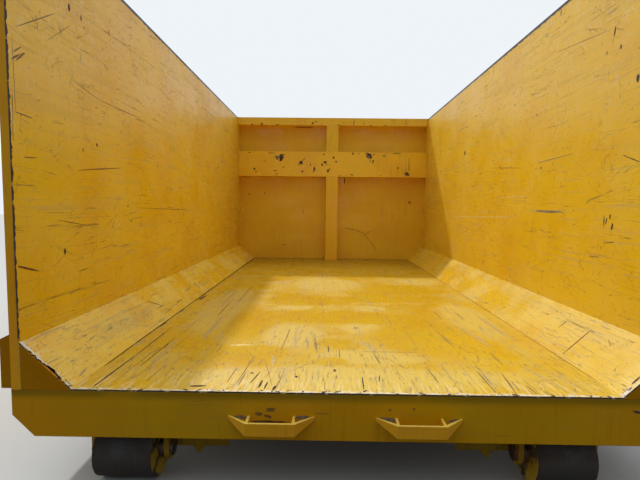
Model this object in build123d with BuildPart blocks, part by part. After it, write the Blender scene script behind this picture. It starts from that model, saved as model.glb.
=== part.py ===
from build123d import *

import os
from math import atan2, cos, radians, sin, tan

# Open-topped roll-off tipper body with rear rollers, in millimetres.
# +Y points to its front wall and +X to its right. The origin is on the ground,
# under the middle of the whole, with the rear door swung back along the right side.

# Load space
inner_width = 2380
inner_length = 4184
wall_height = 1783
floor_width = 2008
chamfer_height = 172

# Sheets
floor_sheet = 6
wall_sheet = 5
chamfer_sheet = 5
plate = 8

# Side walls outside
rib_depth = 75
rib_base = 110
rib_crown = 70
rib_sheet = 4
rib_count = 7
side_rail_height = 80
bottom_rail_width = 80
bottom_rail_height = 80
tube_wall = 4

# Rear frame
sill_depth = 181
sill_top_flange = 100
sill_bottom_flange = 60
sill_corner_cut = 80
post_width = 36
post_depth = 100

# Inside of the front wall
front_frame_depth = 120
top_rail_height = 92
mid_rail_bottom = 1055
mid_rail_height = 310
centre_post_width = 150
corner_strip = 8

# Runners and cross members
runner_spacing = 1060
runner_flange = 90
runner_flange_sheet = 10
runner_web = 8
cross_height = 80
cross_width = 50
cross_sheet = 6
cross_count = 9

# Rear rollers
roller_diameter = 220
roller_width = 228
roller_inner_x = 735
roller_y = 158
roller_drop = 300
axle_diameter = 50
axle_collar_radius = 40
collar_play = 1
bracket_sheet = 20
bracket_width = 90
bracket_inner_gap = 25
bracket_outer_gap = 12
running_gap = 0.08

# Plates that tie the roller brackets to the runners
tie_drop = 316
tie_inner_x = 470
tie_point_x = 593
tie_point_width = 52
tie_point_drop = 352

# Front feet
foot_length = 300
foot_sole = 170
foot_sheet = 12
foot_setback = 300

# Hook frame on the front
hook_height = 1570
hook_bar_diameter = 50
hook_reach = 180
hook_clear_width = 300
hook_cheek = 20
hook_cheek_radius = 50
hook_cheek_half_height = 115
leg_width = 100
leg_depth = 100
leg_top_x = 190
leg_overrun = 110
head_height = 80

# Steps on the rear sill
step_x = 270
step_base = 320
step_front = 176
step_reach = 62
step_bar_height = 47
step_bar_sheet = 10
step_drop = 90
step_tip_height = 12

# Rear door, hinged at the right rear post
door_depth = 80
door_sheet = 5
door_gap = 10
door_overlap = 35
door_frame_width = 80
door_rib_width = 60
door_rib_depth = 55
door_rib_count = 3
hinge_out = 74
hinge_back = 110
hinge_pin_diameter = 30
hinge_knuckle_radius = 28
hinge_knuckle_height = 100
hinge_lug_radius = 30
hinge_lug_sheet = 20
hinge_lug_foot = 75
hinge_lug_foot_y = 15
hinge_lug_root = 1
hinge_play = 1
hinge_strap_length = 300
hinge_strap_sheet = 12
hinge_bottom = 170
hinge_below_top = 153
pin_head_radius = 24
pin_head_height = 12

# Latches at the door's free edge and their keepers on the left rear post
keeper_height = 200
keeper_reach = 36
keeper_sheet = 15
keeper_slope = 18
keeper_below_top = 453
latch_sheet = 15
latch_side_gap = 6
latch_pivot_over_keeper = 70
latch_pivot_behind_sill = 50
latch_pin_diameter = 24
latch_boss_radius = 26
latch_heel_angle = 120
latch_clear = 6
latch_over_keeper = 10
latch_nose_drop = 18
latch_beak = 24
latch_bite = 60
latch_laid_back = 150
latch_stop_radius = 8
latch_stop_gap = 0.3

# Places that follow from the sizes
side_x = inner_width / 2
side_outer = side_x + wall_sheet + rib_depth
post_outer = side_x + post_width
chamfer_run = (inner_width - floor_width) / 2
chamfer_angle = atan2(chamfer_height, chamfer_run)
chamfer_drop = chamfer_sheet / cos(chamfer_angle)
triangle_foot = floor_width / 2 + (chamfer_drop - floor_sheet) / tan(chamfer_angle)
runner_x = (runner_spacing - runner_flange) / 2
runner_height = sill_depth - floor_sheet
cross_z = -floor_sheet - cross_height
roller_radius = roller_diameter / 2
wall_front = inner_length + wall_sheet
frame_front = wall_front + leg_depth
hook_y = wall_front + hook_reach
floor_z = roller_drop + roller_radius
hook_z = hook_height - floor_z
hinge_x = post_outer + hinge_out
door_back_x = hinge_x + hinge_back - door_gap - door_depth
door_face_x = door_back_x + door_depth
door_near = hinge_out - hinge_back
door_width = 2 * post_outer
door_far = door_near + door_width
door_bottom = -door_overlap
door_height = wall_height + door_overlap
hinge_top = wall_height - hinge_below_top
hinge_heights = (hinge_bottom, (hinge_bottom + hinge_top) / 2, hinge_top)
keeper_bottoms = (0, wall_height - keeper_below_top)
rear_reach = hinge_back + hinge_lug_radius
front_reach = hook_y + hook_cheek_radius
mid_x = (side_outer - door_face_x) / 2
sill_y = (rear_reach - front_reach) / 2


def across(y):
    """Upright plane over the sill's rear face plus y: x right, y up, extruding rearwards."""
    return Plane(origin=(mid_x, sill_y + y, floor_z), x_dir=(1, 0, 0), z_dir=(0, -1, 0))


def along(x):
    """Upright plane beside the middle: x forwards, y up, extruding to the right."""
    return Plane(origin=(mid_x + x, sill_y, floor_z), x_dir=(0, 1, 0), z_dir=(1, 0, 0))


def level(z):
    """Level plane over the floor's face: x right, y forwards, extruding upwards."""
    return Plane(origin=(mid_x, sill_y, floor_z + z))


def box_face(low, high):
    """Rectangle between two corners of the sketch."""
    with Locations(((low[0] + high[0]) / 2, (low[1] + high[1]) / 2)):
        Rectangle(abs(high[0] - low[0]), abs(high[1] - low[1]))


def outline(points):
    """Face with straight edges through the points."""
    Polygon(*points, align=None)


def finish(piece, name):
    piece.part.label = name
    export_step(piece.part, f"parts/{name}.step")


os.makedirs("parts", exist_ok=True)
SIDES = (("left", -1), ("right", 1))

# Floor
with BuildPart() as floor_plate:
    with BuildSketch(level(-floor_sheet)):
        box_face((-floor_width / 2, 0), (floor_width / 2, inner_length))
    extrude(amount=floor_sheet)
finish(floor_plate, "floor_plate")

# Sloping plates along the floor's sides
for side, sign in SIDES:
    with BuildPart() as chamfer_plate:
        with BuildSketch(across(inner_length)):
            outline([
                (sign * floor_width / 2, 0),
                (sign * side_x, chamfer_height),
                (sign * side_x, chamfer_height - chamfer_drop),
                (sign * triangle_foot, -floor_sheet),
                (sign * floor_width / 2, -floor_sheet),
            ])
        extrude(amount=inner_length)
    finish(chamfer_plate, f"{side}_chamfer_plate")

# Triangles that close the hollows behind the sloping plates at the rear
with BuildPart() as chamfer_ends:
    with BuildSketch(across(plate)):
        for side, sign in SIDES:
            outline([
                (sign * triangle_foot, -floor_sheet),
                (sign * side_x, -floor_sheet),
                (sign * side_x, chamfer_height - chamfer_drop),
            ])
    extrude(amount=plate)
finish(chamfer_ends, "chamfer_end_plates")

# Side walls
for side, sign in SIDES:
    with BuildPart() as side_wall:
        with BuildSketch(along(sign * side_x)):
            box_face((0, -floor_sheet), (inner_length, wall_height))
        extrude(amount=sign * wall_sheet)
    finish(side_wall, f"{side}_side_wall")

# Pressed ribs outside the walls, open towards the sheet
rib_root = side_x + wall_sheet
rib_first = post_depth + rib_base
rib_last = inner_length - rib_depth - rib_base
rib_pitch = (rib_last - rib_first) / (rib_count - 1)
rib_top = wall_height - side_rail_height
for side, sign in SIDES:
    with BuildPart() as side_ribs:
        for index in range(rib_count):
            middle = rib_first + index * rib_pitch
            with BuildSketch(level(cross_z)):
                outline([
                    (sign * rib_root, middle - rib_base / 2),
                    (sign * side_outer, middle - rib_crown / 2),
                    (sign * side_outer, middle + rib_crown / 2),
                    (sign * rib_root, middle + rib_base / 2),
                    (sign * rib_root, middle + rib_base / 2 - rib_sheet),
                    (sign * (side_outer - rib_sheet), middle + rib_crown / 2 - rib_sheet),
                    (sign * (side_outer - rib_sheet), middle - rib_crown / 2 + rib_sheet),
                    (sign * rib_root, middle - rib_base / 2 + rib_sheet),
                ])
            extrude(amount=rib_top - cross_z)
    finish(side_ribs, f"{side}_side_ribs")

# Tubes along the top of the side walls
top_rail_end = inner_length - rib_depth
for side, sign in SIDES:
    with BuildPart() as side_rail:
        with BuildSketch(across(top_rail_end)):
            box_face((sign * rib_root, rib_top), (sign * side_outer, wall_height))
        extrude(amount=top_rail_end - post_depth)
        with BuildSketch(across(top_rail_end)):
            box_face(
                (sign * (rib_root + tube_wall), rib_top + tube_wall),
                (sign * (side_outer - tube_wall), wall_height - tube_wall),
            )
        extrude(amount=top_rail_end - post_depth - tube_wall, mode=Mode.SUBTRACT)
    finish(side_rail, f"{side}_top_rail")

# Tubes under the side walls that the cross members end at, closed at the front
bottom_rail_inner = rib_root - bottom_rail_width
bottom_rail_length = inner_length - sill_top_flange
for side, sign in SIDES:
    with BuildPart() as bottom_rail:
        with BuildSketch(across(inner_length)):
            box_face(
                (sign * bottom_rail_inner, -floor_sheet - bottom_rail_height),
                (sign * rib_root, -floor_sheet),
            )
        extrude(amount=bottom_rail_length)
        with BuildSketch(across(sill_top_flange)):
            box_face(
                (sign * (bottom_rail_inner + tube_wall), tube_wall - floor_sheet - bottom_rail_height),
                (sign * (rib_root - tube_wall), -floor_sheet - tube_wall),
            )
        extrude(amount=tube_wall - bottom_rail_length, mode=Mode.SUBTRACT)
    finish(bottom_rail, f"{side}_bottom_rail")

# Rear sill, a channel open to the front with its lower corners cut off and its ends closed
with BuildPart() as rear_sill:
    with BuildSketch(along(-post_outer)):
        outline([
            (0, -sill_depth),
            (0, -floor_sheet),
            (sill_top_flange, -floor_sheet),
            (sill_top_flange, -floor_sheet - plate),
            (plate, -floor_sheet - plate),
            (plate, plate - sill_depth),
            (sill_bottom_flange, plate - sill_depth),
            (sill_bottom_flange, -sill_depth),
        ])
    extrude(amount=2 * post_outer)
    with BuildSketch(across(sill_top_flange)):
        for side, sign in SIDES:
            outline([
                (sign * post_outer, -sill_depth),
                (sign * (post_outer - sill_corner_cut), -sill_depth),
                (sign * post_outer, sill_corner_cut - sill_depth),
            ])
    extrude(amount=sill_top_flange, mode=Mode.SUBTRACT)
    with BuildSketch(across(sill_bottom_flange)):
        for side, sign in SIDES:
            outline([
                (sign * post_outer, -floor_sheet),
                (sign * post_outer, sill_corner_cut - sill_depth),
                (sign * (post_outer - sill_corner_cut), -sill_depth),
                (sign * (post_outer - sill_corner_cut - plate), -sill_depth),
                (sign * (post_outer - plate), sill_corner_cut - sill_depth),
                (sign * (post_outer - plate), -floor_sheet),
            ])
    extrude(amount=sill_bottom_flange)
finish(rear_sill, "rear_sill")

# Rear posts, standing on the sill outside the sheets
with BuildPart() as rear_posts:
    with BuildSketch(level(-floor_sheet)):
        for side, sign in SIDES:
            box_face((sign * rib_root, 0), (sign * post_outer, post_depth))
    extrude(amount=floor_sheet + wall_height)
finish(rear_posts, "rear_posts")

# Front wall
with BuildPart() as front_wall:
    with BuildSketch(across(wall_front)):
        box_face((-rib_root, -floor_sheet), (rib_root, wall_height))
    extrude(amount=wall_sheet)
finish(front_wall, "front_wall")

# Frame on the inside of the front wall: the post stands in two lengths, under and over the mid rail
top_rail_bottom = wall_height - top_rail_height
mid_rail_top = mid_rail_bottom + mid_rail_height
with BuildPart() as centre_post:
    with BuildSketch(across(inner_length)):
        for bottom, top in ((0, mid_rail_bottom), (mid_rail_top, top_rail_bottom)):
            box_face((-centre_post_width / 2, bottom), (centre_post_width / 2, top))
    extrude(amount=front_frame_depth)
finish(centre_post, "front_centre_post")

rail_end = side_x - corner_strip
with BuildPart() as front_top_rail:
    with BuildSketch(across(inner_length)):
        box_face((-rail_end, top_rail_bottom), (rail_end, wall_height))
    extrude(amount=front_frame_depth)
finish(front_top_rail, "front_top_rail")

with BuildPart() as front_mid_rail:
    with BuildSketch(across(inner_length)):
        box_face((-rail_end, mid_rail_bottom), (rail_end, mid_rail_top))
    extrude(amount=front_frame_depth)
finish(front_mid_rail, "front_mid_rail")

with BuildPart() as corner_strips:
    with BuildSketch(across(inner_length)):
        for side, sign in SIDES:
            box_face((sign * rail_end, chamfer_height), (sign * side_x, wall_height))
    extrude(amount=front_frame_depth)
finish(corner_strips, "front_corner_strips")

# Tubes at the front corners, outside the sheets
with BuildPart() as corner_posts:
    for side, sign in SIDES:
        with BuildSketch(level(cross_z)):
            box_face((sign * rib_root, top_rail_end), (sign * side_outer, wall_front))
        extrude(amount=wall_height - cross_z)
finish(corner_posts, "front_corner_posts")

# Runners, rolled sections from the sill to the hook frame
for side, sign in SIDES:
    with BuildPart() as runner:
        with BuildSketch(across(frame_front)):
            with Locations((sign * runner_x, -floor_sheet - runner_height / 2)):
                Rectangle(runner_flange, runner_height)
            for outer in (-1, 1):
                with Locations((
                    sign * runner_x + outer * (runner_flange + runner_web) / 4,
                    -floor_sheet - runner_height / 2,
                )):
                    Rectangle(
                        (runner_flange - runner_web) / 2,
                        runner_height - 2 * runner_flange_sheet,
                        mode=Mode.SUBTRACT,
                    )
        extrude(amount=frame_front - sill_top_flange)
    finish(runner, f"{side}_runner")

# Cross members, channels between the runners and out to the bottom rails
cross_spans = (
    (-bottom_rail_inner, -runner_x - runner_flange / 2),
    (-runner_x + runner_flange / 2, runner_x - runner_flange / 2),
    (runner_x + runner_flange / 2, bottom_rail_inner),
)
cross_first = sill_top_flange
cross_last = inner_length - cross_width
cross_pitch = (cross_last - cross_first) / (cross_count - 1)
with BuildPart() as cross_members:
    for start, end in cross_spans:
        for index in range(cross_count):
            rear = cross_first + index * cross_pitch
            with BuildSketch(along(start)):
                outline([
                    (rear, cross_z),
                    (rear, -floor_sheet),
                    (rear + cross_width, -floor_sheet),
                    (rear + cross_width, -floor_sheet - cross_sheet),
                    (rear + cross_sheet, -floor_sheet - cross_sheet),
                    (rear + cross_sheet, cross_z + cross_sheet),
                    (rear + cross_width, cross_z + cross_sheet),
                    (rear + cross_width, cross_z),
                ])
            extrude(amount=end - start)
finish(cross_members, "cross_members")

# Roller brackets: straps with round ends, the inner ones tied to the runners by upright plates
roller_outer_x = roller_inner_x + roller_width
bracket_inner_x = roller_inner_x - bracket_inner_gap
bracket_outer_x = roller_outer_x + bracket_outer_gap
runner_outer = runner_spacing / 2
axle_radius = axle_diameter / 2
with BuildPart() as roller_brackets:
    for side, sign in SIDES:
        for start in (bracket_inner_x - bracket_sheet, bracket_outer_x):
            with BuildSketch(along(sign * start)):
                with Locations((roller_y, -roller_drop)):
                    Circle(bracket_width / 2)
                box_face(
                    (roller_y - bracket_width / 2, -roller_drop),
                    (roller_y + bracket_width / 2, cross_z),
                )
                with Locations((roller_y, -roller_drop)):
                    Circle(axle_radius + running_gap, mode=Mode.SUBTRACT)
            extrude(amount=sign * bracket_sheet)
        with BuildSketch(across(roller_y + bracket_width / 2)):
            outline([
                (sign * runner_outer, cross_z),
                (sign * (bracket_inner_x - bracket_sheet), cross_z),
                (sign * (bracket_inner_x - bracket_sheet), -tie_drop),
                (sign * (tie_point_x + tie_point_width / 2), -tie_drop),
                (sign * tie_point_x, -tie_point_drop),
                (sign * (tie_point_x - tie_point_width / 2), -tie_drop),
                (sign * tie_inner_x, -tie_drop),
                (sign * tie_inner_x, -sill_depth),
                (sign * runner_outer, -sill_depth),
            ])
        extrude(amount=plate)
finish(roller_brackets, "roller_brackets")

# Axles with an end ring outside each bracket and a collar between bracket and roller
axle_start = bracket_inner_x - bracket_sheet - plate
axle_end = bracket_outer_x + bracket_sheet + plate
axle_rings = (
    # first x, length, radius
    (axle_start, plate, axle_radius + plate),
    (axle_end - plate, plate, axle_radius + plate),
    (bracket_inner_x, bracket_inner_gap - collar_play, axle_collar_radius),
    (roller_outer_x + collar_play, bracket_outer_gap - collar_play, axle_collar_radius),
)
with BuildPart() as roller_axles:
    for side, sign in SIDES:
        with BuildSketch(along(sign * axle_start)):
            with Locations((roller_y, -roller_drop)):
                Circle(axle_radius)
        extrude(amount=sign * (axle_end - axle_start))
        for start, length, radius in axle_rings:
            with BuildSketch(along(sign * start)):
                with Locations((roller_y, -roller_drop)):
                    Circle(radius)
            extrude(amount=sign * length)
finish(roller_axles, "roller_axles")

# Rollers, plain barrels on the axles
for side, sign in SIDES:
    with BuildPart() as roller:
        with BuildSketch(along(sign * roller_inner_x)):
            with Locations((roller_y, -roller_drop)):
                Circle(roller_radius)
                Circle(axle_radius + running_gap, mode=Mode.SUBTRACT)
        extrude(amount=sign * roller_width)
    finish(roller, f"{side}_rear_roller")

# Front feet under the runners, bent from plate
foot_top = -sill_depth
foot_middle = inner_length - foot_setback
with BuildPart() as front_feet:
    for side, sign in SIDES:
        with BuildSketch(along(sign * runner_x - runner_flange / 2)):
            outline([
                (foot_middle - foot_length / 2, foot_top),
                (foot_middle - foot_sole / 2, -floor_z),
                (foot_middle + foot_sole / 2, -floor_z),
                (foot_middle + foot_length / 2, foot_top),
                (foot_middle + foot_length / 2 - foot_sheet, foot_top),
                (foot_middle + foot_sole / 2 - foot_sheet, foot_sheet - floor_z),
                (foot_middle - foot_sole / 2 + foot_sheet, foot_sheet - floor_z),
                (foot_middle - foot_length / 2 + foot_sheet, foot_top),
            ])
        extrude(amount=runner_flange)
finish(front_feet, "front_feet")

# Hook frame: two legs leaning together, a head between them, cheeks and the bar
head_bottom = hook_z + leg_overrun
head_top = head_bottom + head_height
with BuildPart() as hook_frame:
    with BuildSketch(across(frame_front)):
        for side, sign in SIDES:
            outline([
                (sign * (runner_x - leg_width / 2), -floor_sheet),
                (sign * (runner_x + leg_width / 2), -floor_sheet),
                (sign * (leg_top_x + leg_width / 2), head_top),
                (sign * (leg_top_x - leg_width / 2), head_top),
            ])
        box_face((-leg_top_x, head_bottom), (leg_top_x, head_top))
    extrude(amount=leg_depth)
finish(hook_frame, "hook_frame")

cheek_x = hook_clear_width / 2
with BuildPart() as hook_cheeks:
    for side, sign in SIDES:
        with BuildSketch(along(sign * cheek_x)):
            with Locations((hook_y, hook_z)):
                Circle(hook_cheek_radius)
            box_face(
                (frame_front, hook_z - hook_cheek_half_height),
                (frame_front + plate, hook_z + hook_cheek_half_height),
            )
            make_hull()
        extrude(amount=sign * hook_cheek)
finish(hook_cheeks, "hook_cheeks")

with BuildPart() as hook_bar:
    with BuildSketch(along(-cheek_x)):
        with Locations((hook_y, hook_z)):
            Circle(hook_bar_diameter / 2)
    extrude(amount=hook_clear_width)
finish(hook_bar, "hook_bar")

# Steps of bent flat bar on the rear sill: the ends taper towards the sill,
# and a gusset stands behind each end of the tread
step_gusset_x = (step_front - step_bar_sheet) / 2
for side, sign in SIDES:
    with BuildPart() as step:
        with BuildSketch(level(-step_drop - step_bar_height)):
            with Locations((sign * step_x, 0)):
                outline([
                    (-step_base / 2, 0),
                    (-step_front / 2, -step_reach),
                    (step_front / 2, -step_reach),
                    (step_base / 2, 0),
                    (step_base / 2 - step_bar_sheet, 0),
                    (step_front / 2 - step_bar_sheet, step_bar_sheet - step_reach),
                    (step_bar_sheet - step_front / 2, step_bar_sheet - step_reach),
                    (step_bar_sheet - step_base / 2, 0),
                ])
            for offset_x in (-step_gusset_x, step_gusset_x):
                with Locations((sign * step_x + offset_x, -step_reach / 2)):
                    Rectangle(step_bar_sheet, step_reach)
        extrude(amount=step_bar_height)
        for end in (-1, 1):
            with BuildSketch(along(sign * step_x + end * step_front / 2)):
                outline([
                    (0, -step_drop - step_bar_height),
                    (0, -step_drop - step_tip_height),
                    (-step_reach, -step_drop - step_bar_height),
                ])
            extrude(amount=end * (step_base - step_front) / 2, mode=Mode.SUBTRACT)
    finish(step, f"{side}_rear_step")

# Keepers for the door latches, on the left rear post
with BuildPart() as latch_keepers:
    with BuildSketch(across(keeper_sheet)):
        for bottom in keeper_bottoms:
            outline([
                (-post_outer, bottom),
                (-post_outer - keeper_reach, bottom),
                (-post_outer - keeper_reach, bottom + keeper_height - keeper_slope),
                (-post_outer, bottom + keeper_height),
            ])
    extrude(amount=keeper_sheet)
finish(latch_keepers, "latch_keepers")

# Hinge lugs on the right rear post
lug_stack = hinge_knuckle_height / 2 + hinge_play
with BuildPart() as hinge_lugs:
    for height in hinge_heights:
        for bottom in (height - lug_stack - hinge_lug_sheet, height + lug_stack):
            with BuildSketch(level(bottom)):
                with Locations((hinge_x, -hinge_back)):
                    Circle(hinge_lug_radius)
                box_face(
                    (post_outer, hinge_lug_foot_y),
                    (post_outer + hinge_lug_root, hinge_lug_foot_y + hinge_lug_foot),
                )
                make_hull()
                with Locations((hinge_x, -hinge_back)):
                    Circle(hinge_pin_diameter / 2 + running_gap, mode=Mode.SUBTRACT)
            extrude(amount=hinge_lug_sheet)
finish(hinge_lugs, "hinge_lugs")

# Hinge pins, hanging by their heads on the upper lugs
pin_bottom = lug_stack + hinge_lug_sheet + pin_head_height
with BuildPart() as hinge_pins:
    for height in hinge_heights:
        with BuildSketch(level(height - pin_bottom)):
            with Locations((hinge_x, -hinge_back)):
                Circle(hinge_pin_diameter / 2)
        extrude(amount=pin_bottom + lug_stack + hinge_lug_sheet)
        with BuildSketch(level(height + lug_stack + hinge_lug_sheet)):
            with Locations((hinge_x, -hinge_back)):
                Circle(pin_head_radius)
        extrude(amount=pin_head_height)
finish(hinge_pins, "hinge_pins")

# Door, standing open along the right side: its back faces the body
door_frame_depth = door_depth - door_sheet
with BuildPart() as door_frame:
    with BuildSketch(along(door_back_x)):
        box_face((door_near, door_bottom), (door_far, wall_height))
        with Locations(((door_near + door_far) / 2, (door_bottom + wall_height) / 2)):
            Rectangle(
                door_width - 2 * door_frame_width,
                door_height - 2 * door_frame_width,
                mode=Mode.SUBTRACT,
            )
    extrude(amount=door_frame_depth)
finish(door_frame, "door_frame")

with BuildPart() as door_panel:
    with BuildSketch(along(door_face_x - door_sheet)):
        box_face((door_near, door_bottom), (door_far, wall_height))
    extrude(amount=door_sheet)
finish(door_panel, "door_panel")

door_rib_pitch = (door_width - 2 * door_frame_width) / (door_rib_count + 1)
with BuildPart() as door_ribs:
    with BuildSketch(along(door_face_x - door_sheet - door_rib_depth)):
        for index in range(door_rib_count):
            middle = door_near + door_frame_width + (index + 1) * door_rib_pitch
            box_face(
                (middle - door_rib_width / 2, door_bottom + door_frame_width),
                (middle + door_rib_width / 2, wall_height - door_frame_width),
            )
    extrude(amount=door_rib_depth)
finish(door_ribs, "door_ribs")

# Door side of the hinges: knuckles on straps that lie on the door's back
with BuildPart() as hinge_straps:
    for height in hinge_heights:
        with BuildSketch(level(height - hinge_knuckle_height / 2)):
            with Locations((hinge_x, -hinge_back)):
                Circle(hinge_knuckle_radius)
            box_face(
                (door_back_x - hinge_strap_sheet, -hinge_back),
                (door_back_x, hinge_strap_length - hinge_back),
            )
            with Locations((hinge_x, -hinge_back)):
                Circle(hinge_pin_diameter / 2 + running_gap, mode=Mode.SUBTRACT)
        extrude(amount=hinge_knuckle_height)
finish(hinge_straps, "door_hinge_straps")

# Latch hooks, laid back over their pivots on the pins and stops that carry them
latch_near = door_far + latch_side_gap
latch_x = hinge_x + hinge_back - latch_pivot_behind_sill
latch_arm = latch_pivot_behind_sill + keeper_sheet + latch_clear
latch_tip = latch_arm + latch_beak
latch_pin_radius = latch_pin_diameter / 2
latch_pin_end = latch_near + latch_sheet + latch_side_gap
arm_heel = Vector(cos(radians(latch_heel_angle)), sin(radians(latch_heel_angle))) * latch_boss_radius
arm_toe = Vector(latch_tip, -latch_nose_drop)
arm_side = (arm_toe - arm_heel).normalized()
arm_stop = (arm_heel + arm_toe) / 2 + Vector(-arm_side.Y, arm_side.X) * (latch_stop_radius + latch_stop_gap)


def latch_plane(keeper_bottom, y):
    """Upright plane at y through a latch's pivot, turned as the latch lies back."""
    turn = radians(latch_laid_back)
    pivot_z = keeper_bottom + keeper_height + latch_pivot_over_keeper
    return Plane(
        origin=(mid_x + latch_x, sill_y + y, floor_z + pivot_z),
        x_dir=(cos(turn), 0, sin(turn)),
        z_dir=(0, -1, 0),
    )


for place, keeper_bottom in zip(("lower", "upper"), keeper_bottoms):
    with BuildPart() as latch_hook:
        with BuildSketch(latch_plane(keeper_bottom, latch_near + latch_sheet)):
            Circle(latch_boss_radius)
            outline([
                (arm_heel.X, arm_heel.Y),
                (arm_toe.X, arm_toe.Y),
                (latch_tip, -latch_pivot_over_keeper - latch_bite),
                (latch_arm, -latch_pivot_over_keeper - latch_bite),
                (latch_arm, latch_over_keeper - latch_pivot_over_keeper),
                (arm_heel.X, -arm_heel.Y),
            ])
            Circle(latch_pin_radius + running_gap, mode=Mode.SUBTRACT)
        extrude(amount=latch_sheet)
    finish(latch_hook, f"{place}_door_latch")

with BuildPart() as latch_pins:
    for keeper_bottom in keeper_bottoms:
        with BuildSketch(latch_plane(keeper_bottom, latch_pin_end)):
            Circle(latch_pin_radius)
            with Locations(arm_stop):
                Circle(latch_stop_radius)
        extrude(amount=latch_pin_end - door_far)
        with BuildSketch(latch_plane(keeper_bottom, latch_pin_end + plate)):
            Circle(latch_pin_radius + plate)
        extrude(amount=plate)
finish(latch_pins, "latch_pins")
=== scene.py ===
from math import cos, radians, sin
from typing import NamedTuple

import bpy
from bpy.props import FloatProperty, FloatVectorProperty, PointerProperty
from bpy.types import NodeSocket, Operator, Panel, PropertyGroup
from mathutils import Matrix, Vector


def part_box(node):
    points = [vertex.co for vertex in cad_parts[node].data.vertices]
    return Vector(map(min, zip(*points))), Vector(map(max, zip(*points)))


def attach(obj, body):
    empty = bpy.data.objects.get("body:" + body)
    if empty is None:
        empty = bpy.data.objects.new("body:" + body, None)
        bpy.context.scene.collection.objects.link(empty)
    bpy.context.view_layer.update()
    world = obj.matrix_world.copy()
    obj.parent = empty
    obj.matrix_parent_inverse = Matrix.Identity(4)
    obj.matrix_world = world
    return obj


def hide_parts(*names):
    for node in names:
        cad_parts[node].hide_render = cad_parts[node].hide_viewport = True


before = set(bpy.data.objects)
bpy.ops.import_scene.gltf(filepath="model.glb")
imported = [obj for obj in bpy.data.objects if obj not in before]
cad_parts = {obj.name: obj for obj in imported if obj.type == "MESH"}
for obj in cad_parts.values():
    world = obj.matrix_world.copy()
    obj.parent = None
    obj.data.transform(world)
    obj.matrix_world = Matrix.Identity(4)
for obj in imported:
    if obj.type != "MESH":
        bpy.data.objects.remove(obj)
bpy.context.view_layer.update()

bl_info = {
    "name": "Roll-off tipper body",
    "version": (1, 0, 0),
    "blender": (4, 5, 0),
    "location": "3D View > Sidebar > Tipper",
    "description": "Worn paint, weld beads and small fittings of a steel tipper body",
    "category": "Object",
}

# The frame's box before anything is added, and the places that the pieces start from
FLOOR_LOW, FLOOR_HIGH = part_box("floor_plate")
FLOOR_ORIGIN = Vector(((FLOOR_LOW.x + FLOOR_HIGH.x) / 2, FLOOR_LOW.y, FLOOR_HIGH.z))
FLOOR_HALF = (FLOOR_HIGH.x - FLOOR_LOW.x) / 2
LENGTH = FLOOR_HIGH.y - FLOOR_LOW.y
WALL_LOW, WALL_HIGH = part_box("left_side_wall")
WALL_X = FLOOR_ORIGIN.x - WALL_HIGH.x
WALL_TOP = WALL_HIGH.z - FLOOR_ORIGIN.z
SHEET_X = FLOOR_ORIGIN.x - WALL_LOW.x
SLOPE_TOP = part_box("front_corner_strips")[0].z - FLOOR_ORIGIN.z
RAIL_LOW, RAIL_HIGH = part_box("front_mid_rail")
RAIL_FACE = RAIL_LOW.y - FLOOR_ORIGIN.y
SIDES = (("left", -1), ("right", 1))
MILLIMETRE = 0.001
RIGHT = Vector((1, 0, 0))
AHEAD = Vector((0, 1, 0))
UP = Vector((0, 0, 1))

# Camera, placed from the middle of the floor's rear edge
CAMERA_FROM_FLOOR = Vector((-0.082, -1.567, 0.676))
CAMERA_YAW = radians(-0.62)
CAMERA_PITCH = radians(4.29)
CAMERA_ROLL = radians(0.64)
CAMERA_LENS = 24.92

# Light: the key light comes from the front left, high over the body
SUN_FROM = Vector((-0.355, 0.77, 1.0))
SUN_COLOUR = (1.0, 0.98, 0.94)
SKY_FROM = Vector((-0.1, 0.62, 0.78))
SKY_FADE = (-0.5, 0.9)
SKY_COLOUR = (0.94, 0.97, 1.0, 1)
BACKDROP_COLOUR = (0.86, 0.90, 0.94, 1)
GROUND_SIZE = 80


def tone(red, green, blue):
    """Linear colour of a paint chart's values from 0 to 255."""
    return tuple((part / 255) ** 2.2 for part in (red, green, blue))


def at(x, y, z):
    """Point over the middle of the floor's rear edge."""
    return FLOOR_ORIGIN + Vector((x, y, z))


def tint(name, description, *chart):
    """Colour setting that starts from a paint chart's values."""
    return FloatVectorProperty(
        name=name, description=description, subtype="COLOR", size=3, min=0, max=1, default=tone(*chart),
    )


class PaintSettings(PropertyGroup):
    """Colours and gloss of the paint."""

    yellow: tint("Yellow", "Paint where it is sound", 233, 188, 24)
    deep: tint("Deep yellow", "Paint where it is thick", 228, 176, 10)
    pale: tint("Rubbed yellow", "Paint that loads have rubbed dull", 234, 204, 92)
    scuff: tint("Scuff", "Grey smear of a load", 160, 146, 106)
    scratch: tint("Scratch", "Bottom of a scratch", 120, 94, 44)
    chip: tint("Chip", "Dark steel where the paint is gone", 44, 30, 24)
    rust: tint("Rust", "Rust round chips and under welds", 128, 70, 30)
    bare: tint("Bare edge", "Edge that sliding loads keep bare", 216, 206, 184)
    rubbed_bare: tint("Pale rub", "Paint rubbed nearly through at the rear edge", 228, 206, 144)
    dust: tint("Dust", "Dust that lies on ledges", 176, 156, 118)
    gloss: FloatProperty(
        name="Roughness", description="Roughness of sound paint", subtype="FACTOR", min=0, max=1,
        default=0.27,
    )


class LightSettings(PropertyGroup):
    """Strength of the studio's light."""

    sun: FloatProperty(name="Key light", description="Strength of the key light", min=0, default=1.9)
    softness: FloatProperty(
        name="Softness", description="Angle that the key light fills", subtype="ANGLE", unit="ROTATION",
        default=radians(2.5),
    )
    sky: FloatProperty(name="Fill light", description="Strength of the light from above", min=0, default=1.42)
    low_sky: FloatProperty(
        name="Low light", description="Strength of the light from behind and below", min=0, default=0.03,
    )


# Shader nodes

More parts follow.
